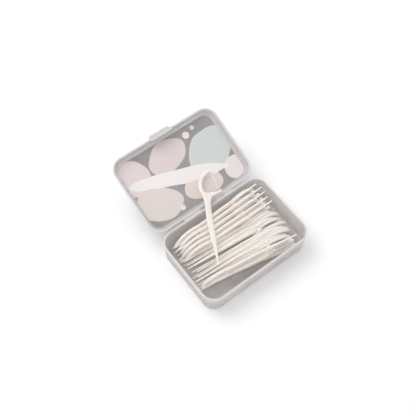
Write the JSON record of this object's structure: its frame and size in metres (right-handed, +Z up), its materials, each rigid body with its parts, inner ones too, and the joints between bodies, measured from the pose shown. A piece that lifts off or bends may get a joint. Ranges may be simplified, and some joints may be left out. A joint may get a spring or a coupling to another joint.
{
  "type": "hinged pocket box of floss picks",
  "caption": "Flat rounded frosted box, its clear lid hinged open on living straps, packed with loose floss picks, one of them lifted out across the hinge edge.",
  "frame": {"origin": "middle of the tray's flat underside", "axes": "+X along the hinge, +Y from the catch side towards the hinge and the open lid, +Z up"},
  "size_m": [0.088, 0.121, 0.0426],
  "materials": {
    "frosted_tray": "frosted",
    "frosted_lid": "frosted",
    "hinge_web": "frosted",
    "printed_film": "printed",
    "pick_plastic": "satin",
    "floss": "smooth"
  },
  "bodies": {
    "tray": {"tray": "frosted_tray", "hinge_strap_left": "hinge_web", "hinge_strap_right": "hinge_web", "heap_strands": "floss", "pick_01": "pick_plastic", "pick_02": "pick_plastic", "pick_03": "pick_plastic", "pick_04": "pick_plastic", "pick_05": "pick_plastic", "pick_06": "pick_plastic", "pick_07": "pick_plastic", "pick_08": "pick_plastic", "pick_09": "pick_plastic", "pick_10": "pick_plastic", "pick_11": "pick_plastic", "pick_12": "pick_plastic", "pick_13": "pick_plastic", "pick_14": "pick_plastic", "pick_15": "pick_plastic", "pick_16": "pick_plastic", "pick_17": "pick_plastic", "pick_18": "pick_plastic", "pick_19": "pick_plastic", "pick_20": "pick_plastic", "pick_21": "pick_plastic", "pick_22": "pick_plastic", "pick_23": "pick_plastic", "pick_24": "pick_plastic", "pick_25": "pick_plastic", "pick_26": "pick_plastic", "pick_27": "pick_plastic", "pick_28": "pick_plastic", "pick_29": "pick_plastic", "pick_30": "pick_plastic", "pick_31": "pick_plastic"},
    "lid": {"lid": "frosted_lid", "lid_print": "printed_film"},
    "served_pick": {"served_pick": "pick_plastic", "served_strand": "floss"}
  },
  "joints": [
    {"name": "lid_hinge", "type": "hinge", "parent": "tray", "child": "lid", "pos_m": [0, 0.03095, 0.0192], "axis": [-1, 0, 0], "range_deg": [-159.2, 0], "deforming": ["hinge_strap_left", "hinge_strap_right"]},
    {"name": "pick_lift", "type": "slide", "parent": "tray", "child": "served_pick", "axis": [0, 0, 1], "range_m": [0, 0.1751]}
  ],
  "couplings": [
    {"joint": "pick_lift", "follows": "lid_hinge", "m_per_rad": -0.063}
  ]
}
